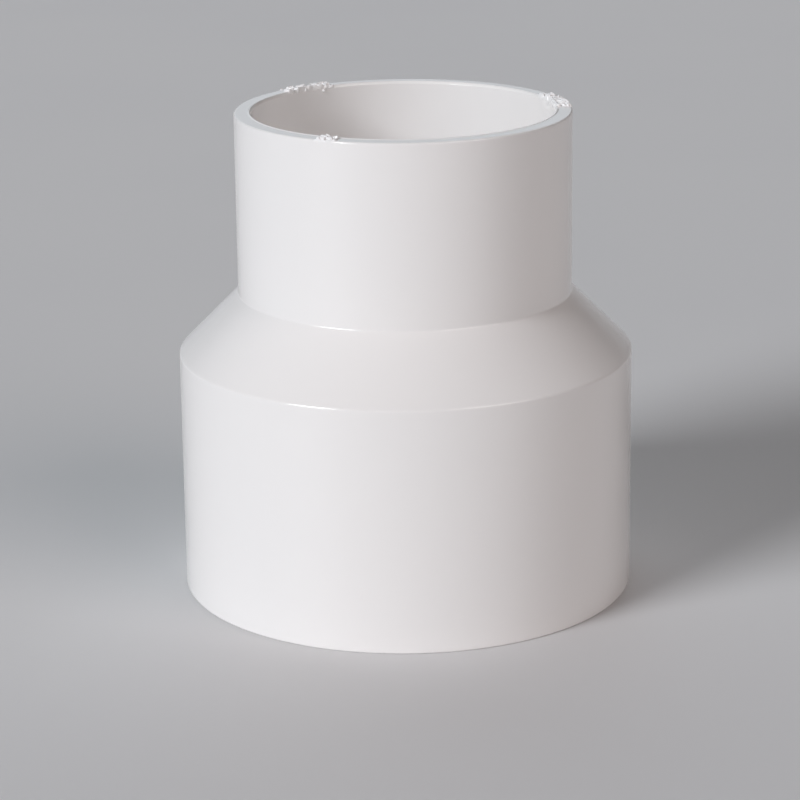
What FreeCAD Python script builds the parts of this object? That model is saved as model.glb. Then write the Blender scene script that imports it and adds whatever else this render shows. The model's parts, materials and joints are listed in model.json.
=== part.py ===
"""Pipe reducer of white PVC-U, moulded in one piece, that joins a 125 mm pipe to a 90 mm pipe on one axis.

The large socket's mouth stands on z = 0 and the small socket's mouth faces up. Outside there are a large
barrel, a cone and a small barrel. Inside there is a socket at each end, a ledge that stops each pipe, and a
flow passage whose cone runs parallel to the outer one. The small end's rim carries the stubs of the gate's
three arms, where the moulding was cut from its sprue. Sizes are in millimetres.
"""

import FreeCAD, Part

import math
import os

import Sketcher

NODE = "reducer_body"

SIZES = [
    # pipes and sockets
    ("pipe_large", 125.0),  # outside diameter of the large pipe
    ("pipe_small", 90.0),  # outside diameter of the small pipe
    ("cement_gap", 0.1),  # radial gap that the solvent cement fills
    ("depth_large", 68.5),  # how far the large pipe goes in
    ("depth_small", 51.0),
    ("ledge_large", 4.0),  # radial width of the ledge that stops the large pipe
    ("ledge_small", 4.0),
    # walls
    ("wall_large", 6.15),  # large socket's wall, at the shoulder
    ("wall_small", 5.25),  # small socket's wall, at the rim
    ("wall_cone", 6.0),  # cone's wall, square to its surface
    ("land_large", 4.8),  # how far the large barrel runs past its socket's floor
    ("land_small", 3.6),
    ("cone_angle", 45.0),  # cone's slope from the axis, in degrees
    ("draft", 0.15),  # mould draft of both barrels, in degrees
    # edges
    ("mouth_round", 0.6),  # rims' outer edges
    ("lead_in", 0.6),  # chamfer at the mouth of each socket
    ("shoulder_round", 1.2),  # outer edge between the large barrel and the cone
    ("neck_round", 1.0),  # hollow edge between the cone and the small barrel
    ("ledge_round", 0.5),  # ledges' inner edges
    # gate
    ("gate_arms", 3.0),
    ("gate_arc", 22.0),  # arc of one arm on the rim, in degrees
    ("gate_turn", 12.0),  # direction of the first arm from +X, in degrees
    ("gate_stub", 0.3),  # height of the stub left on the rim
    ("gate_margin", 0.3),  # flat left between the stub and the rim's rounded and chamfered edges
]

# Sizes that follow from the sheet, written as expressions of its names.
SOCKET_LARGE = "(sizes.pipe_large / 2 + sizes.cement_gap)"
SOCKET_SMALL = "(sizes.pipe_small / 2 + sizes.cement_gap)"
BORE_LARGE = f"({SOCKET_LARGE} - sizes.ledge_large)"
BORE_SMALL = f"({SOCKET_SMALL} - sizes.ledge_small)"
BARREL_LARGE = "(sizes.depth_large + sizes.land_large)"
BARREL_SMALL = "(sizes.depth_small + sizes.land_small)"
DRAFT = "tan(sizes.draft * 1 deg)"
SLOPE = "tan(sizes.cone_angle * 1 deg)"
RIM = f"({SOCKET_SMALL} + sizes.wall_small)"
NECK = f"({RIM} + {BARREL_SMALL} * {DRAFT})"
SHOULDER = f"({SOCKET_LARGE} + sizes.wall_large)"
MOUTH = f"({SHOULDER} + {BARREL_LARGE} * {DRAFT})"
SHOULDER_AT = BARREL_LARGE
NECK_AT = f"({SHOULDER_AT} + ({SHOULDER} - {NECK}) / {SLOPE})"
HEIGHT = f"({NECK_AT} + {BARREL_SMALL})"
CONE_WALL_RISE = "(sizes.wall_cone / sin(sizes.cone_angle * 1 deg))"
INNER_CONE_FROM = f"({SHOULDER_AT} + ({SHOULDER} - {BORE_LARGE}) / {SLOPE} - {CONE_WALL_RISE})"
INNER_CONE_TO = f"({SHOULDER_AT} + ({SHOULDER} - {BORE_SMALL}) / {SLOPE} - {CONE_WALL_RISE})"

PAST_THE_CUT = 1.0  # how far a sketch of a cut runs on into empty space
FULL_TURN = 360.0
SAME_PLACE = 1e-4  # edges nearer than this to a place are at it
LEAST_CHANGE = 0.01  # mm3 that any feature adds or takes away
BY_LENGTH = 0  # kind of pad or pocket

# points of a sketch's lines and arcs, and a sketch's own origin and upright axis
START, END, CENTRE = 1, 2, 3
ORIGIN, UPRIGHT = -1, -2


def make_sheet(doc):
    sheet = doc.addObject("Spreadsheet::Sheet", "sizes")
    for row, (name, value) in enumerate(SIZES, start=1):
        sheet.set(f"A{row}", name)
        sheet.set(f"B{row}", str(value))
        sheet.setAlias(f"B{row}", name)
    doc.recompute()
    return sheet


def plane_of(body, role):
    return next(f for f in body.Origin.OriginFeatures if f.Role == role)


def new_sketch(body, name, role):
    sketch = body.newObject("Sketcher::SketchObject", name)
    sketch.AttachmentSupport = [(plane_of(body, role), "")]
    sketch.MapMode = "FlatFace"
    return sketch


def bind(sketch, name, constraint, expression):
    """Adds a named constraint and ties it to the sheet."""
    index = sketch.addConstraint(constraint)
    sketch.renameConstraint(index, name)
    sketch.setExpression(f"Constraints.{name}", expression)


def outline(sheet, sketch, corners):
    """A closed outline through corners, each a name and two expressions. A size of "0" lies on an axis."""
    sizes = [(float(sheet.evalExpression(x)), float(sheet.evalExpression(y))) for _, x, y in corners]
    points = [FreeCAD.Vector(x, y, 0) for x, y in sizes]
    count = len(points)
    for i in range(count):
        sketch.addGeometry(Part.LineSegment(points[i], points[(i + 1) % count]), False)
    for i, (name, x, y) in enumerate(corners):
        sketch.addConstraint(Sketcher.Constraint("Coincident", (i - 1) % count, END, i, START))
        if x == "0":
            sketch.addConstraint(Sketcher.Constraint("PointOnObject", i, START, UPRIGHT))
        else:
            across = Sketcher.Constraint("DistanceX", ORIGIN, START, i, START, points[i].x)
            bind(sketch, f"{name}_x", across, x)
        if y == "0":
            sketch.addConstraint(Sketcher.Constraint("PointOnObject", i, START, ORIGIN))
        else:
            upwards = Sketcher.Constraint("DistanceY", ORIGIN, START, i, START, points[i].y)
            bind(sketch, f"{name}_y", upwards, y)


def circle_sketch(sheet, body, name, radius, height):
    """A circle round the axis, in a plane square to it at the height."""
    sketch = new_sketch(body, name, "XY_Plane")
    sketch.setExpression("AttachmentOffset.Base.z", height)
    size = float(sheet.evalExpression(radius))
    sketch.addGeometry(Part.Circle(FreeCAD.Vector(0, 0, 0), FreeCAD.Vector(0, 0, 1), size), False)
    sketch.addConstraint(Sketcher.Constraint("Coincident", 0, CENTRE, ORIGIN, START))
    bind(sketch, "bore", Sketcher.Constraint("Radius", 0, size), radius)
    return sketch


def volume_after(doc, body, before, grows):
    """Recomputes, and stops if the last feature failed or changed the body the wrong way."""
    doc.recompute()
    feature = body.Tip
    if not feature.isValid() or feature.Shape.isNull():
        raise RuntimeError(f"{feature.Label} failed")
    volume = feature.Shape.Volume
    if (volume > before) != grows or abs(volume - before) < LEAST_CHANGE:
        raise RuntimeError(f"{feature.Label} took the volume from {before:.1f} to {volume:.1f} mm3")
    return volume


def ring_edges(feature, places):
    """Names of the feature's round edges at each (radius, height)."""
    found = []
    for radius, height in places:
        for number, edge in enumerate(feature.Shape.Edges, start=1):
            if not isinstance(edge.Curve, Part.Circle):
                continue
            centre = edge.Curve.Center
            if abs(edge.Curve.Radius - radius) < SAME_PLACE and abs(centre.z - height) < SAME_PLACE:
                found.append(f"Edge{number}")
                break
        else:
            raise RuntimeError(f"no round edge of radius {radius:.2f} at height {height:.2f}")
    return found


def revolve(body, name, kind, sketch):
    feature = body.newObject(kind, name)
    feature.Profile = sketch
    feature.ReferenceAxis = (sketch, ["V_Axis"])
    feature.Angle = FULL_TURN
    return feature


def make_outside(doc, sheet, body):
    """Both barrels and the cone between them, solid to the axis."""
    sketch = new_sketch(body, "outside_profile", "XZ_Plane")
    outline(
        sheet,
        sketch,
        [
            ("foot", "0", "0"),
            ("mouth", MOUTH, "0"),
            ("shoulder", SHOULDER, SHOULDER_AT),
            ("neck", NECK, NECK_AT),
            ("rim", RIM, HEIGHT),
            ("top", "0", HEIGHT),
        ],
    )
    revolve(body, "outside", "PartDesign::Revolution", sketch)
    return volume_after(doc, body, 0.0, grows=True)


def make_flow_passage(doc, sheet, body, volume):
    """The bore at each ledge and the cone between them, right through."""
    sketch = new_sketch(body, "passage_profile", "XZ_Plane")
    outline(
        sheet,
        sketch,
        [
            ("in_axis", "0", f"0 - {PAST_THE_CUT}"),
            ("in_edge", BORE_LARGE, f"0 - {PAST_THE_CUT}"),
            ("cone_from", BORE_LARGE, INNER_CONE_FROM),
            ("cone_to", BORE_SMALL, INNER_CONE_TO),
            ("out_edge", BORE_SMALL, f"{HEIGHT} + {PAST_THE_CUT}"),
            ("out_axis", "0", f"{HEIGHT} + {PAST_THE_CUT}"),
        ],
    )
    revolve(body, "flow_passage", "PartDesign::Groove", sketch)
    return volume_after(doc, body, volume, grows=False)


def make_socket(doc, sheet, body, volume, name, radius, depth, mouth_at, upwards):
    sketch = circle_sketch(sheet, body, f"{name}_circle", radius, mouth_at)
    pocket = body.newObject("PartDesign::Pocket", name)
    pocket.Profile = sketch
    pocket.Type = BY_LENGTH
    pocket.setExpression("Length", depth)
    pocket.Reversed = upwards
    return volume_after(doc, body, volume, grows=False)


def round_edges(doc, sheet, body, volume, name, size, rings, grows):
    """One fillet over rings, each a radius and a height."""
    base = body.Tip
    places = [(float(sheet.evalExpression(r)), float(sheet.evalExpression(z))) for r, z in rings]
    fillet = body.newObject("PartDesign::Fillet", name)
    fillet.Base = (base, ring_edges(base, places))
    fillet.setExpression("Radius", size)
    return volume_after(doc, body, volume, grows=grows)


def make_lead_ins(doc, sheet, body, volume):
    base = body.Tip
    rings = [(SOCKET_LARGE, "0"), (SOCKET_SMALL, HEIGHT)]
    places = [(float(sheet.evalExpression(r)), float(sheet.evalExpression(z))) for r, z in rings]
    chamfer = body.newObject("PartDesign::Chamfer", "lead_ins")
    chamfer.Base = (base, ring_edges(base, places))
    chamfer.setExpression("Size", "sizes.lead_in")
    return volume_after(doc, body, volume, grows=False)


def make_gate_stubs(doc, sheet, body, volume):
    """The stub of one gate arm, a block on an arc of the rim, repeated evenly round it."""
    sketch = new_sketch(body, "gate_outline", "XY_Plane")
    sketch.setExpression("AttachmentOffset.Base.z", HEIGHT)
    inner = f"({SOCKET_SMALL} + sizes.lead_in + sizes.gate_margin)"
    outer = f"({RIM} - sizes.mouth_round - sizes.gate_margin)"
    start = "(sizes.gate_turn - sizes.gate_arc / 2)"
    end = "(sizes.gate_turn + sizes.gate_arc / 2)"
    low, high = (math.radians(float(sheet.evalExpression(a))) for a in (start, end))
    sizes = [float(sheet.evalExpression(r)) for r in (inner, outer)]
    for size in sizes:
        circle = Part.Circle(FreeCAD.Vector(0, 0, 0), FreeCAD.Vector(0, 0, 1), size)
        sketch.addGeometry(Part.ArcOfCircle(circle, low, high), False)
    for angle in (low, high):
        ends = [FreeCAD.Vector(size * math.cos(angle), size * math.sin(angle), 0) for size in sizes]
        sketch.addGeometry(Part.LineSegment(*ends), False)
    low_line, high_line = 2, 3  # places of the two lines, after the two arcs
    for arc, (name, radius, size) in enumerate((("inner", inner, sizes[0]), ("outer", outer, sizes[1]))):
        sketch.addConstraint(Sketcher.Constraint("Coincident", arc, CENTRE, ORIGIN, START))
        bind(sketch, name, Sketcher.Constraint("Radius", arc, size), radius)
        line_end = START if name == "inner" else END
        sketch.addConstraint(Sketcher.Constraint("Coincident", arc, START, low_line, line_end))
        sketch.addConstraint(Sketcher.Constraint("Coincident", arc, END, high_line, line_end))
    sides = [(low_line, "from_angle", start, low), (high_line, "to_angle", end, high)]
    for line, name, angle, value in sides:
        sketch.addConstraint(Sketcher.Constraint("PointOnObject", ORIGIN, START, line))
        turned = Sketcher.Constraint("Angle", ORIGIN, START, line, START, value)
        bind(sketch, name, turned, f"{angle} * 1 deg")
    pad = body.newObject("PartDesign::Pad", "gate_stub")
    pad.Profile = sketch
    pad.Type = BY_LENGTH
    pad.setExpression("Length", "sizes.gate_stub")
    volume = volume_after(doc, body, volume, grows=True)

    pattern = body.newObject("PartDesign::PolarPattern", "gate_stubs")
    pattern.Originals = [pad]
    pattern.Axis = (plane_of(body, "Z_Axis"), [""])
    pattern.Angle = FULL_TURN
    pattern.setExpression("Occurrences", "sizes.gate_arms")
    body.Tip = pattern
    return volume_after(doc, body, volume, grows=True)


def make_reducer(doc, sheet):
    body = doc.addObject("PartDesign::Body", NODE)
    body.Label = NODE
    volume = make_outside(doc, sheet, body)
    volume = make_flow_passage(doc, sheet, body, volume)
    volume = make_socket(
        doc, sheet, body, volume, "large_socket", SOCKET_LARGE, "sizes.depth_large", "0", upwards=True
    )
    volume = make_socket(
        doc, sheet, body, volume, "small_socket", SOCKET_SMALL, "sizes.depth_small", HEIGHT, upwards=False
    )
    ledges = [(BORE_LARGE, "sizes.depth_large"), (BORE_SMALL, f"({HEIGHT} - sizes.depth_small)")]
    rounds = [
        ("shoulder_edge", "sizes.shoulder_round", [(SHOULDER, SHOULDER_AT)], False),
        ("neck_edge", "sizes.neck_round", [(NECK, NECK_AT)], True),
        ("rim_edges", "sizes.mouth_round", [(MOUTH, "0"), (RIM, HEIGHT)], False),
        ("ledge_edges", "sizes.ledge_round", ledges, False),
    ]
    for name, size, rings, grows in rounds:
        volume = round_edges(doc, sheet, body, volume, name, size, rings, grows)
    volume = make_lead_ins(doc, sheet, body, volume)
    make_gate_stubs(doc, sheet, body, volume)
    return body


def check(doc, bodies):
    for thing in doc.Objects:
        if {"Invalid", "Error"} & set(thing.State):
            raise RuntimeError(f"{thing.Label} is {thing.State}")
    for body in bodies:
        shape = body.Shape
        if shape.isNull() or not shape.isValid() or len(shape.Solids) != 1:
            raise RuntimeError(f"{body.Label} isn't one valid solid")
        print(f"{body.Label}: {shape.Volume / 1000:.2f} cm3, {len(shape.Faces)} faces, {shape.BoundBox}")


def main():
    doc = FreeCAD.newDocument("pipe_reducer")
    sheet = make_sheet(doc)
    bodies = [make_reducer(doc, sheet)]
    doc.recompute()
    check(doc, bodies)
    os.makedirs("parts", exist_ok=True)
    for body in bodies:
        body.Shape.exportStep(f"parts/{body.Label}.step")


main()
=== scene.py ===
import json
import math

import bmesh
import bpy
from mathutils import Matrix, Vector


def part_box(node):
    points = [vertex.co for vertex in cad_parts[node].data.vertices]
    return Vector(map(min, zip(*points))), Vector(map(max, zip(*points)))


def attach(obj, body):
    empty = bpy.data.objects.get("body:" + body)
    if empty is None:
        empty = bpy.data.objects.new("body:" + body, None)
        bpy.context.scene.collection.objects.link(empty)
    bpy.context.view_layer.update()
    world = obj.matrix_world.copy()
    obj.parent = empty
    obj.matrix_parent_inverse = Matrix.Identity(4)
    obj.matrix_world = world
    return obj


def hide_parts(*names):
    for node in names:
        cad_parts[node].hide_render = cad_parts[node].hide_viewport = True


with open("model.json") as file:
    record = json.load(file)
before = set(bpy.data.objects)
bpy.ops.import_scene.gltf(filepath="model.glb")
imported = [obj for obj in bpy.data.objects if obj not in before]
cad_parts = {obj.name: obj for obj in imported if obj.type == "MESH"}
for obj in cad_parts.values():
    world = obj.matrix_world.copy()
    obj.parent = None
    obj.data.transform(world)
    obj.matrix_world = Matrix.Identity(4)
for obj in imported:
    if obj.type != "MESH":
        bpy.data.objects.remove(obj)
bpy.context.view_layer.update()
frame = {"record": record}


class Wire:  # an output socket, so that sums of nodes are written as sums
    def __init__(self, tree, socket):
        self.tree = tree
        self.socket = socket

    @staticmethod
    def node(tree, kind, settings=None, inputs=None, out=0):
        made = tree.nodes.new(kind)
        for name, value in (settings or {}).items():
            setattr(made, name, value)
        for name, value in (inputs or {}).items():
            if isinstance(value, Wire):
                tree.links.new(value.socket, made.inputs[name])
            else:
                made.inputs[name].default_value = value
        return Wire(tree, made.outputs[out])

    def beside(self, out):  # another output of the same node
        return Wire(self.tree, self.socket.node.outputs[out])

    def math(self, operation, *others):
        values = dict(enumerate((self, *others)))
        return Wire.node(self.tree, "ShaderNodeMath", {"operation": operation}, values)

    def after(self, operation, first):  # the same, with this one second
        return Wire.node(self.tree, "ShaderNodeMath", {"operation": operation}, {0: first, 1: self})

    def ramp(self, start, end, low=0.0, high=1.0):  # smooth step from low at start to high at end
        settings = {"interpolation_type": "SMOOTHSTEP"}
        inputs = {"Value": self, "From Min": start, "From Max": end, "To Min": low, "To Max": high}
        return Wire.node(self.tree, "ShaderNodeMapRange", settings, inputs)

    def __add__(self, other):
        return self.math("ADD", other)

    def __sub__(self, other):
        return self.math("SUBTRACT", other)

    def __mul__(self, other):
        return self.math("MULTIPLY", other)

    def __truediv__(self, other):
        return self.math("DIVIDE", other)

    def __gt__(self, other):
        return self.math("GREATER_THAN", other)

    def __lt__(self, other):
        return self.math("LESS_THAN", other)

    def __abs__(self):
        return self.math("ABSOLUTE")

    def __radd__(self, other):
        return self.after("ADD", other)

    def __rsub__(self, other):
        return self.after("SUBTRACT", other)

    def __rmul__(self, other):
        return self.after("MULTIPLY", other)

    def __rtruediv__(self, other):
        return self.after("DIVIDE", other)


def part(tree, vector, axis):
    return Wire.node(tree, "ShaderNodeSeparateXYZ", inputs={"Vector": vector}, out=axis)


def vectorMath(tree, operation, first, second, out="Vector"):
    return Wire.node(tree, "ShaderNodeVectorMath", {"operation": operation}, {0: first, 1: second}, out)


def blendColours(tree, factor, first, second):
    inputs = {0: factor, 6: first, 7: second}
    return Wire.node(tree, "ShaderNodeMix", {"data_type": "RGBA"}, inputs, out=2)


# the fitting is one lathed wall, with a rim that is torn where the gate's three arms came off

mounts = {m["name"]: m["dims"] for m in frame["record"]["mounts"]}
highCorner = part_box("reducer_body")[1]
stubHeight = 0.0003  # what the gate's stubs add to the box

reducer = {
    "socketLarge": mounts["large_socket"]["r_mm"] / 1000,
    "socketSmall": mounts["small_socket"]["r_mm"] / 1000,
    "mouth": highCorner.x,  # outer radius at the large mouth
    "rimHeight": highCorner.z - stubHeight,
    "depthLarge": 0.0685,
    "depthSmall": 0.051,
    "ledge": 0.004,
    "wallLarge": 0.00615,
    "wallSmall": 0.00525,
    "wallCone": 0.006,
    "landLarge": 0.0048,
    "landSmall": 0.0036,
    "coneAngle": math.radians(45),
    "leadIn": 0.0006,
    "lipHeight": 0.00025,  # burr along the rim's inner edge
    "lipIn": 0.0006,  # from the bore to the top of the burr
    "lipOut": 0.0005,
    "mouthRound": 0.0006,
    "shoulderRound": 0.0012,
    "neckRound": 0.001,
    "ledgeRound": 0.0005,
    "innerRound": 0.0015,
    "cornerRound": 0.0002,  # corners that are square on the drawing
    "support": 0.0006,  # from each rounded corner to the next point, so that the flats shade flat
    "pointsInWindow": 160,  # windows are the stretches of the circle that hold the scars
    "pointsBetween": 44,
    "fineStep": 0.00024,  # how closely the rim and the top of the bore are cut
    "fineDepth": 0.0046,
}

gateScars = {
    "places": [(13.0, 24.0), (129.5, 22.0), (243.5, 8.0)],  # direction and arc of each, in degrees
    "windowTurn": 12.0,  # the windows repeat every 120 degrees from here
    "windowArc": 38.0,
    "soft": 0.6,  # how ragged the ends are, in degrees
    "ragScale": 900.0,  # and how finely, in waves to a metre
    "reach": 0.0008,  # how far down the wall the tearing goes
    "stub": stubHeight,  # what is left of each arm
    "proud": 0.00045,  # highest flake and deepest pit
    "pit": 0.00025,
    "slope": 1.5,  # the steepest that a flake lies
    "leanX": 0.16,  # the arms were bent this way as they were snapped off
    "leanY": 0.13,
    "flake": 0.0017,
    "seed": 6.0,
    "dentTurn": 16.0,  # where an arm bent the bore's edge outwards as it came away
    "dentArc": 10.0,
    "dentDepth": 0.0009,
    "dentReach": 0.003,
    "crumbTurn": 123.2,  # a crumb of swarf welded to the bore
    "crumbDepth": 0.0011,
    "crumbSize": 0.0005,
    "crumbHeight": 0.00035,
}


def halfSection(size):
    # corners of the wall's section: radius, height and the round on each
    rimHeight = size["rimHeight"]
    shoulderAt = size["depthLarge"] + size["landLarge"]
    neckAt = rimHeight - size["depthSmall"] - size["landSmall"]
    shoulder = size["socketLarge"] + size["wallLarge"]
    rim = size["socketSmall"] + size["wallSmall"]
    slope = math.tan(size["coneAngle"])
    neck = shoulder - (neckAt - shoulderAt) * slope
    lipTop = size["socketSmall"] + size["lipIn"]
    boreLarge = size["socketLarge"] - size["ledge"]
    boreSmall = size["socketSmall"] - size["ledge"]
    rise = size["wallCone"] / math.sin(size["coneAngle"])
    coneFrom = shoulderAt + (shoulder - boreLarge) / slope - rise
    coneTo = shoulderAt + (shoulder - boreSmall) / slope - rise
    floorSmall = rimHeight - size["depthSmall"]
    square = size["cornerRound"]
    return [
        (size["mouth"], 0.0, size["mouthRound"]),
        (shoulder, shoulderAt, size["shoulderRound"]),
        (neck, neckAt, size["neckRound"]),
        (rim, rimHeight, size["mouthRound"]),
        (lipTop + size["lipOut"], rimHeight, square),
        (lipTop, rimHeight + size["lipHeight"], square),
        (size["socketSmall"], rimHeight - size["leadIn"], square),
        (size["socketSmall"], rimHeight - size["fineDepth"], 0.0),
        (size["socketSmall"], floorSmall, square),
        (boreSmall, floorSmall, size["ledgeRound"]),
        (boreSmall, coneTo, size["ledgeRound"]),
        (boreLarge, coneFrom, size["innerRound"]),
        (boreLarge, size["depthLarge"], size["ledgeRound"]),
        (size["socketLarge"], size["depthLarge"], square),
        (size["socketLarge"], size["leadIn"], square),
        (size["socketLarge"] + size["leadIn"], 0.0, square),
    ]


def sectionMesh(size):
    corners = halfSection(size)
    count = len(corners)
    spots = [Vector((radius, 0, height)) for radius, height, _ in corners]
    reaches = []  # from each corner to where its round starts
    for i, (_, _, edgeRound) in enumerate(corners):
        turn = (spots[i] - spots[i - 1]).angle(spots[(i + 1) % count] - spots[i])
        reaches.append(edgeRound * math.tan(turn / 2))
    points, rounds = [], []
    for i in range(count):
        points.append(spots[i])
        rounds.append(corners[i][2])
        along = spots[(i + 1) % count] - spots[i]
        start = reaches[i] + size["support"]
        end = along.length - reaches[(i + 1) % count] - size["support"]
        if end - start > size["support"]:
            points += [spots[i] + along.normalized() * start, spots[i] + along.normalized() * end]
            rounds += [0.0, 0.0]
    mesh = bpy.data.meshes.new("reducerSection")
    mesh.from_pydata(points, [(i, (i + 1) % len(points)) for i in range(len(points))], [])
    mesh.attributes.new("edgeRound", "FLOAT", "POINT").data.foreach_set("value", rounds)
    return mesh


def latheInputs(size, scars):
    # every size that the tree takes, by the name of its input
    inputs = {
        "Rim Height": size["rimHeight"],
        "Ring Radius": size["socketSmall"],
        "Fine Step": size["fineStep"],
        "Fine Depth": size["fineDepth"],
        "Least Round": size["cornerRound"],
        "Largest Round": size["shoulderRound"],
        "Points In Window": size["pointsInWindow"],
        "Points Between": size["pointsBetween"],
        "Window Turn": math.radians(scars["windowTurn"]),
        "Window Arc": math.radians(scars["windowArc"]),
        "Ragged Ends": math.radians(scars["soft"]),
        "Rag Scale": scars["ragScale"],
        "Tear Reach": scars["reach"],
        "Stub": scars["stub"],
        "Proud": scars["proud"],
        "Pit": scars["pit"],
        "Flake Slope": scars["slope"],
        "Lean X": scars["leanX"],
        "Lean Y": scars["leanY"],
        "Flake Size": scars["flake"],
        "Seed": scars["seed"],
        "Dent Turn": math.radians(scars["dentTurn"]),
        "Dent Arc": math.radians(scars["dentArc"]),
        "Dent Depth": scars["dentDepth"],
        "Dent Reach": scars["dentReach"],
        "Crumb Turn": math.radians(scars["crumbTurn"]),
        "Crumb Depth": scars["crumbDepth"],
        "Crumb Size": scars["crumbSize"],
        "Crumb Height": scars["crumbHeight"],
    }
    for number, (turn, arc) in enumerate(scars["places"], start=1):
        inputs[f"Scar {number} Turn"] = math.radians(turn)
        inputs[f"Scar {number} Arc"] = math.radians(arc)
    return inputs


def roundedSection(tree, section, given):
    # rounds the section's corners, more finely where the round is larger, and cuts the torn end finely
    curve = Wire.node(tree, "GeometryNodeMeshToCurve", inputs={"Mesh": section})
    named = {"data_type": "FLOAT"}
    edgeRound = Wire.node(tree, "GeometryNodeInputNamedAttribute", named, {"Name": "edgeRound"})
    steps = edgeRound.ramp(given["Least Round"], given["Largest Round"], 3.0, 9.0)
    inputs = {"Curve": curve, "Count": steps, "Radius": edgeRound}
    rounded = Wire.node(tree, "GeometryNodeFilletCurve", {"mode": "POLY"}, inputs)
    place = Wire.node(tree, "GeometryNodeInputPosition")
    index = Wire.node(tree, "GeometryNodeInputIndex")
    inputs = {"Index": index + 1, "Value": place}
    ahead = Wire.node(tree, "GeometryNodeFieldAtIndex", {"data_type": "FLOAT_VECTOR"}, inputs)
    length = vectorMath(tree, "DISTANCE", place, ahead, out="Value")
    lower = part(tree, place, "Z").math("MINIMUM", part(tree, ahead, "Z"))
    torn = lower > given["Rim Height"] - given["Fine Depth"] - given["Least Round"]
    cuts = torn * length / given["Fine Step"]
    return Wire.node(tree, "GeometryNodeSubdivideCurve", inputs={"Curve": rounded, "Cuts": cuts})


def windowedCircle(tree, given):
    # a circle whose points stand close together in the windows
    fine, between = given["Points In Window"], given["Points Between"]
    window, third = given["Window Arc"], math.tau / 3
    perThird = fine + between
    inputs = {"Resolution": perThird * 3, "Radius": 1.0}
    circle = Wire.node(tree, "GeometryNodeCurvePrimitiveCircle", inputs=inputs)
    index = Wire.node(tree, "GeometryNodeInputIndex")
    lap = (index / perThird).math("FLOOR")
    step = index - lap * perThird
    inWindow = step * window / fine
    past = (step - fine) * (third - window) / between + window
    angle = inWindow + (step > fine) * (past - inWindow) + lap * third + given["Window Turn"] - window / 2
    x, y = (angle.math(way) * given["Ring Radius"] for way in ("COSINE", "SINE"))
    place = Wire.node(tree, "ShaderNodeCombineXYZ", inputs={"X": x, "Y": y})
    return Wire.node(tree, "GeometryNodeSetPosition", inputs={"Geometry": circle, "Position": place})


def turnedFrom(angle, middle):  # how far an angle is from the middle, either way round
    return abs((angle - middle).math("WRAP", math.pi, -math.pi))


def flakeHeight(tree, place, given):
    # each flake is a cell that stands or sinks by chance and lies at its own slope
    inputs = {"Vector": place, "W": given["Seed"], "Scale": 1.0 / given["Flake Size"]}
    flake = Wire.node(tree, "ShaderNodeTexVoronoi", {"voronoi_dimensions": "4D"}, inputs, out="Color")
    level = (part(tree, flake, "X") - 0.5) * (given["Proud"] + given["Pit"])
    inputs = {"X": 0.5 - given["Lean X"], "Y": 0.5 - given["Lean Y"], "Z": 0.5}
    upright = Wire.node(tree, "ShaderNodeCombineXYZ", inputs=inputs)
    lean = vectorMath(tree, "SUBTRACT", flake, upright)
    fromCentre = vectorMath(tree, "SUBTRACT", place, flake.beside("Position"))
    slope = vectorMath(tree, "DOT_PRODUCT", fromCentre, lean, out="Value") * given["Flake Slope"] * 2
    return (level + slope).math("MINIMUM", given["Proud"]).math("MAXIMUM", 0.0 - given["Pit"])


def tearRim(tree, wall, given, scarCount):
    # lifts flakes of the rim in each scar, dents its edge, and stores how torn each point is
    place = Wire.node(tree, "GeometryNodeInputPosition")
    x, y, z = (part(tree, place, axis) for axis in "XYZ")
    radius = (x * x + y * y).math("SQRT")
    depth = given["Rim Height"] - z
    inputs = {"Vector": place, "W": given["Seed"], "Scale": given["Rag Scale"]}
    wobble = Wire.node(tree, "ShaderNodeTexNoise", {"noise_dimensions": "4D"}, inputs) - 0.5
    angle = y.math("ARCTAN2", x)
    ragged = angle + wobble * given["Ragged Ends"] * 2
    torn = 0.0
    for number in range(1, scarCount + 1):
        half = given[f"Scar {number} Arc"] / 2
        off = turnedFrom(ragged, given[f"Scar {number} Turn"])
        torn = off.ramp(half - given["Ragged Ends"], half, 1.0, 0.0) + torn
    torn = torn * depth.ramp(given["Tear Reach"] / 4, given["Tear Reach"], 1.0, 0.0)
    across = turnedFrom(angle, given["Crumb Turn"]) * radius
    along = depth - given["Crumb Depth"]
    crumbSpan = (across * across + along * along).math("SQRT") + wobble * given["Crumb Size"] * 0.5
    crumb = crumbSpan.ramp(given["Crumb Size"] / 3, given["Crumb Size"], 1.0, 0.0)
    crumb = crumb * (radius < given["Ring Radius"] + given["Crumb Size"])
    inputs = {"Geometry": wall, "Name": "torn", "Value": torn + crumb}
    settings = {"data_type": "FLOAT", "domain": "POINT"}
    wall = Wire.node(tree, "GeometryNodeStoreNamedAttribute", settings, inputs)
    torn = Wire.node(tree, "GeometryNodeInputNamedAttribute", {"data_type": "FLOAT"}, {"Name": "torn"})
    flake = flakeHeight(tree, place, given)
    inwards = depth.ramp(given["Tear Reach"] / 4, given["Tear Reach"])
    dent = turnedFrom(angle, given["Dent Turn"]).ramp(0.0, given["Dent Arc"] / 2, 1.0, 0.0)
    dent = dent * depth.ramp(0.0, given["Dent Reach"], 1.0, 0.0)
    dent = dent * (radius - given["Ring Radius"]).ramp(0.0, given["Dent Reach"], 1.0, 0.0)
    outwards = dent * given["Dent Depth"] - crumb * given["Crumb Height"] - torn * flake * inwards
    lift = torn * (flake + given["Stub"]) * (1.0 - inwards)
    inputs = {"X": x / radius * outwards, "Y": y / radius * outwards, "Z": lift}
    offset = Wire.node(tree, "ShaderNodeCombineXYZ", inputs=inputs)
    return Wire.node(tree, "GeometryNodeSetPosition", inputs={"Geometry": wall, "Offset": offset})


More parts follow.
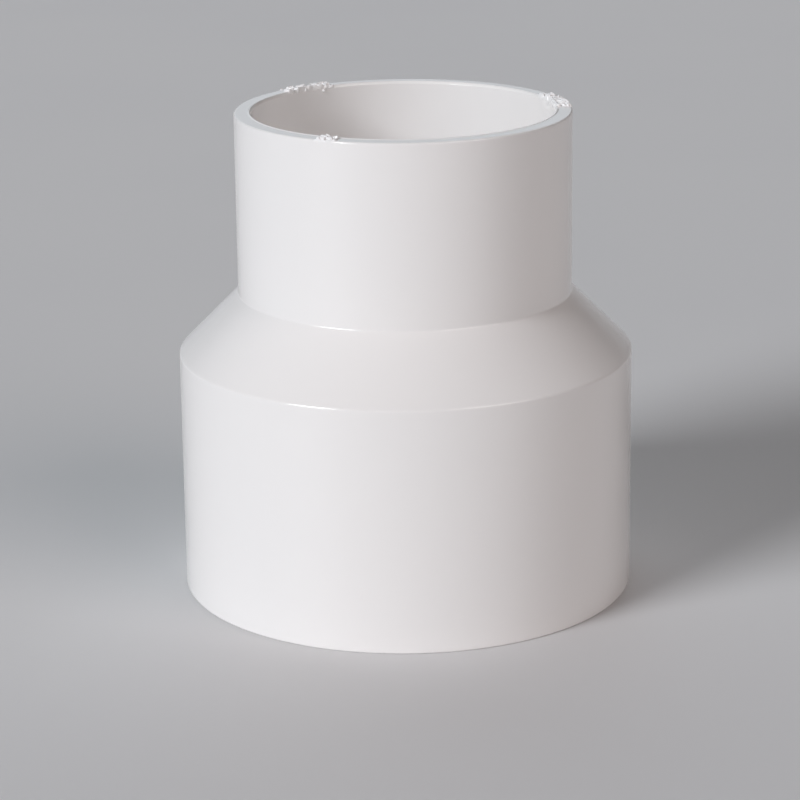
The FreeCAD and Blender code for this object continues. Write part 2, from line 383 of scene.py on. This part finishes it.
def latheTree(inputs, scarCount):
    tree = bpy.data.node_groups.new("reducerLathe", "GeometryNodeTree")
    tree.is_modifier = True
    tree.interface.new_socket(name="Section", in_out="INPUT", socket_type="NodeSocketGeometry")
    for name, value in inputs.items():
        kind = "NodeSocketInt" if isinstance(value, int) else "NodeSocketFloat"
        tree.interface.new_socket(name=name, in_out="INPUT", socket_type=kind)
    tree.interface.new_socket(name="Material", in_out="INPUT", socket_type="NodeSocketMaterial")
    tree.interface.new_socket(name="Wall", in_out="OUTPUT", socket_type="NodeSocketGeometry")
    entry = Wire.node(tree, "NodeGroupInput")
    given = {name: entry.beside(name) for name in inputs}
    section = roundedSection(tree, entry, given)
    inwards = Wire.node(tree, "ShaderNodeCombineXYZ", inputs={"X": 0.0 - given["Ring Radius"]})
    turned = {"Geometry": section, "Translation": inwards, "Rotation": (math.pi / 2, 0, 0)}
    section = Wire.node(tree, "GeometryNodeTransform", inputs=turned)
    circle = windowedCircle(tree, given)
    circle = Wire.node(tree, "GeometryNodeSetCurveNormal", {"mode": "Z_UP"}, {"Curve": circle})
    wall = Wire.node(tree, "GeometryNodeCurveToMesh", inputs={"Curve": circle, "Profile Curve": section})
    wall = tearRim(tree, wall, given, scarCount)
    inputs = {"Geometry": wall, "Shade Smooth": True}
    wall = Wire.node(tree, "GeometryNodeSetShadeSmooth", inputs=inputs)
    torn = Wire.node(tree, "GeometryNodeInputNamedAttribute", {"data_type": "FLOAT"}, {"Name": "torn"})
    inputs = {"Geometry": wall, "Selection": torn > 0.3, "Shade Smooth": False}
    wall = Wire.node(tree, "GeometryNodeSetShadeSmooth", inputs=inputs)  # flakes are sharp
    wall = Wire.node(tree, "GeometryNodeRealizeInstances", inputs={"Geometry": wall})
    inputs = {"Geometry": wall, "Material": entry.beside("Material")}
    wall = Wire.node(tree, "GeometryNodeSetMaterial", inputs=inputs)
    tree.links.new(wall.socket, tree.nodes.new("NodeGroupOutput").inputs[0])
    return tree


def bakedMesh(base, tree, values, name):
    # runs the tree on base, and returns its result as a plain object
    modifier = base.modifiers.new("lathe", "NODES")
    modifier.node_group = tree
    for item in tree.interface.items_tree:
        if item.item_type == "SOCKET" and item.in_out == "INPUT" and item.name in values:
            modifier[item.identifier] = values[item.name]
    bpy.context.scene.collection.objects.link(base)
    evaluated = base.evaluated_get(bpy.context.evaluated_depsgraph_get())
    mesh = bpy.data.meshes.new_from_object(evaluated)
    bpy.data.objects.remove(base)
    made = bpy.data.objects.new(name, mesh)
    bpy.context.scene.collection.objects.link(made)
    return made


def makeReducer(size, scars, material):
    inputs = latheInputs(size, scars)
    tree = latheTree(inputs, len(scars["places"]))
    base = bpy.data.objects.new("reducerSection", sectionMesh(size))
    wall = bakedMesh(base, tree, {**inputs, "Material": material}, "reducerWall")
    shape = bmesh.new()
    shape.from_mesh(wall.data)
    bmesh.ops.recalc_face_normals(shape, faces=shape.faces)
    openEdges = sum(not edge.is_manifold for edge in shape.edges)
    shape.to_mesh(wall.data)
    volume = round(shape.calc_volume() * 1e6, 1)
    print("wall:", len(shape.faces), "faces,", openEdges, "open edges,", volume, "cm3")
    shape.free()
    return wall


# white PVC-U as it comes out of a polished mould

whitePvc = {
    "body": (0.94, 0.927, 0.915, 1),
    "flow": (0.928, 0.917, 0.907, 1),  # where the melt ran slower, a shade greyer
    "flowSpan": 0.035,  # size of the cloudy patches of the melt
    "flowBand": (-0.2, 0.2),
    "bore": (0.972, 0.96, 0.948, 1),  # the small bore, painted a shade paler: painted light that stands in for light the inner wall lacks
    "boreRadius": 0.0454,
    "torn": (0.985, 0.985, 0.985, 1),
    "gloss": 0.1,
    "dullest": 0.2,  # where the mould's polish is worn
    "wornSpan": 0.02,
    "wornBand": (-0.15, 0.25),
    "tornGloss": 0.24,
    "refraction": 1.53,
    "drawSpan": 0.0009,  # polishing marks run along the axis, the way the mould opens
    "drawLength": 0.03,
    "drawDepth": 0.0000025,
    "drawGloss": 0.03,
    "peelSpan": 0.0016,  # orange peel
    "peelDepth": 0.000004,
    "waveSpan": 0.022,  # slow waviness that bends reflections
    "waveDepth": 0.00003,
    "scuffSpan": 0.004,  # faint hairline scuffs from handling
    "scuffWidth": 0.03,
    "scuffStretch": 0.12,  # how slowly a scuff's noise changes along it
    "scuffLeans": [(0.5, 0.2, 0.0), (-0.7, 0.9, 0.4)],
    "scuffPatches": (0.08, 0.16),
    "scuffGloss": 0.06,
    "edgeScuff": 0.004,  # the large mouth is scuffed this far up from the bench
    "edgeScuffBand": (0.0, 0.2),
}


def noise(tree, place, span, detail=2.0):
    # from about -0.5 to 0.5, in patches about as wide as span
    inputs = {"Vector": place, "Scale": 0.5 / span, "Detail": detail}
    return Wire.node(tree, "ShaderNodeTexNoise", inputs=inputs) - 0.5


def scuffLines(tree, place, look, lean):
    # thin lines where a stretched noise crosses its middle, kept only in patches
    settings = {"vector_type": "POINT"}
    inputs = {"Vector": place, "Rotation": lean, "Scale": (1.0, 1.0, look["scuffStretch"])}
    stretched = Wire.node(tree, "ShaderNodeMapping", settings, inputs)
    crossing = abs(noise(tree, stretched, look["scuffSpan"], 1.0))
    line = crossing.ramp(0.0, look["scuffWidth"] / 2, 1.0, 0.0)
    patch = noise(tree, place, look["scuffSpan"] * 3).ramp(*look["scuffPatches"])
    return line * patch


def pvcMaterial(look):
    material = bpy.data.materials.new("whitePvc")
    material.use_nodes = True
    tree = material.node_tree
    tree.nodes.clear()
    place = Wire.node(tree, "ShaderNodeTexCoord", out="Object")
    torn = Wire.node(tree, "ShaderNodeAttribute", {"attribute_name": "torn"}, out="Fac")
    x, y, up = (part(tree, place, axis) for axis in "XYZ")
    flow = noise(tree, place, look["flowSpan"], 3.0).ramp(*look["flowBand"])
    worn = noise(tree, place, look["wornSpan"], 4.0).ramp(*look["wornBand"])
    alongAxis = vectorMath(tree, "MULTIPLY", place, (1.0, 1.0, look["drawSpan"] / look["drawLength"]))
    draw = noise(tree, alongAxis, look["drawSpan"], 3.0)
    first, second = (scuffLines(tree, place, look, lean) for lean in look["scuffLeans"])
    nearBench = up.ramp(0.0, look["edgeScuff"], 1.0, 0.0)
    benchScuff = noise(tree, place, look["drawSpan"]).ramp(*look["edgeScuffBand"]) * nearBench
    scuff = (first + second + benchScuff).math("MINIMUM", 1.0)
    colour = blendColours(tree, flow, look["body"], look["flow"])
    # painted light: inside the small bore the colour is lightened to stand in for light falling on the
    # inner wall
    paintedLightInBore = (x * x + y * y).math("SQRT") < look["boreRadius"]
    colour = blendColours(tree, paintedLightInBore, colour, look["bore"])
    colour = blendColours(tree, torn, colour, look["torn"])
    gloss = look["gloss"] + worn * (look["dullest"] - look["gloss"])
    gloss = gloss + draw * look["drawGloss"] + scuff * look["scuffGloss"]
    gloss = gloss + torn * (look["tornGloss"] - gloss)
    height = draw * look["drawDepth"] + noise(tree, place, look["peelSpan"]) * look["peelDepth"]
    height = height + noise(tree, place, look["waveSpan"], 1.0) * look["waveDepth"]
    bump = Wire.node(tree, "ShaderNodeBump", inputs={"Height": height, "Strength": 1.0, "Distance": 1.0})
    surface = {"Base Color": colour, "Roughness": gloss, "IOR": look["refraction"], "Normal": bump}
    shader = Wire.node(tree, "ShaderNodeBsdfPrincipled", inputs=surface)
    tree.links.new(shader.socket, tree.nodes.new("ShaderNodeOutputMaterial").inputs["Surface"])
    return material


reducerWall = makeReducer(reducer, gateScars, pvcMaterial(whitePvc))
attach(reducerWall, "root")
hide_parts("reducer_body")

# the studio: a pale floor, soft lights, and the camera

studio = {
    "floor": (0.74, 0.74, 0.74, 1),
    "floorCloud": (0.725, 0.725, 0.73, 1),
    "cloudSpan": 0.15,
    "cloudBand": (-0.2, 0.2),
    "grainSpan": 0.0012,
    "grainDepth": 0.00002,
    "grainGloss": 0.1,
    "floorGloss": 0.6,
    "floorSize": 40.0,
    "horizon": (0.94, 0.97, 1.0, 1),
    "horizonStrength": 0.34,
    "hazeFrom": 0.03,  # the pale band along the horizon fades out between these heights of the sky
    "hazeTo": 0.26,
}


def floorMaterial(look):
    # matt studio board with a faint grain
    material = bpy.data.materials.new("paleFloor")
    material.use_nodes = True
    tree = material.node_tree
    tree.nodes.clear()
    place = Wire.node(tree, "ShaderNodeTexCoord", out="Object")
    cloud = noise(tree, place, look["cloudSpan"]).ramp(*look["cloudBand"])
    grain = noise(tree, place, look["grainSpan"], 4.0)
    colour = blendColours(tree, cloud, look["floor"], look["floorCloud"])
    gloss = look["floorGloss"] + grain * look["grainGloss"]
    bump = Wire.node(tree, "ShaderNodeBump", inputs={"Height": grain * look["grainDepth"], "Distance": 1.0})
    surface = {"Base Color": colour, "Roughness": gloss, "Normal": bump}
    shader = Wire.node(tree, "ShaderNodeBsdfPrincipled", inputs=surface)
    tree.links.new(shader.socket, tree.nodes.new("ShaderNodeOutputMaterial").inputs["Surface"])
    return material


def makeFloor(look):
    half = look["floorSize"] / 2
    corners = [(-half, -half, 0), (half, -half, 0), (half, half, 0), (-half, half, 0)]
    mesh = bpy.data.meshes.new("floor")
    mesh.from_pydata(corners, [], [(0, 1, 2, 3)])
    mesh.materials.append(floorMaterial(look))
    floor = bpy.data.objects.new("floor", mesh)
    bpy.context.scene.collection.objects.link(floor)


def makeWorld(look):
    # pale along the horizon, dark overhead
    world = bpy.data.worlds.new("studioWorld")
    world.use_nodes = True
    tree = world.node_tree
    direction = Wire.node(tree, "ShaderNodeTexCoord", out="Generated")
    up = part(tree, direction, "Z")
    haze = up.ramp(look["hazeFrom"], look["hazeTo"], look["horizonStrength"], 0.0)
    background = tree.nodes["Background"]
    background.inputs["Color"].default_value = look["horizon"]
    tree.links.new(haze.socket, background.inputs["Strength"])
    bpy.context.scene.world = world


softLights = {
    "key": {"turn": -140, "rise": 27, "spread": 24, "strength": 2.25, "colour": (0.955, 0.965, 1.0)},
    "fill": {"turn": -42, "rise": 35, "spread": 40, "strength": 0.8, "colour": (1.0, 0.88, 0.85)},
    "back": {"turn": 98, "rise": 36, "spread": 60, "strength": 0.56, "colour": (0.84, 0.93, 1.0)},
}


def makeSoftLight(name, look):
    # a lamp as wide as a softbox looks, at a direction and a rise from the object
    turn, rise = math.radians(look["turn"]), math.radians(look["rise"])
    way = Vector((math.cos(turn) * math.cos(rise), math.sin(turn) * math.cos(rise), math.sin(rise)))
    light = bpy.data.lights.new(name, "SUN")
    light.angle = math.radians(look["spread"])
    light.energy = look["strength"]
    light.color = look["colour"]
    lamp = bpy.data.objects.new(name, light)
    lamp.matrix_world = Matrix.Translation(way) @ way.to_track_quat("Z", "Y").to_matrix().to_4x4()
    bpy.context.scene.collection.objects.link(lamp)


view = {
    "away": 0.79775,
    "height": 0.2994,
    "down": 0.2964,  # tilt below level, in radians
    "roll": -0.0118,
    "turn": 0.0024,
    "focal": 122.32,
    "sensor": 36.0,
    "farthest": 100.0,
}


def makeCamera(view):
    camera = bpy.data.cameras.new("camera")
    camera.lens = view["focal"]
    camera.sensor_width = view["sensor"]
    camera.clip_end = view["farthest"]
    body = bpy.data.objects.new("camera", camera)
    aim = Matrix.Rotation(view["turn"], 4, "Z") @ Matrix.Rotation(math.pi / 2 - view["down"], 4, "X")
    place = Matrix.Translation((0, -view["away"], view["height"]))
    body.matrix_world = place @ aim @ Matrix.Rotation(view["roll"], 4, "Z")
    bpy.context.scene.collection.objects.link(body)
    bpy.context.scene.camera = body


makeFloor(studio)
makeWorld(studio)
for lightName, lightLook in softLights.items():
    makeSoftLight(lightName, lightLook)
makeCamera(view)
bpy.context.scene.view_settings.view_transform = "Standard"
print("studio: floor,", len(softLights), "lights and camera")

bpy.context.view_layer.update()
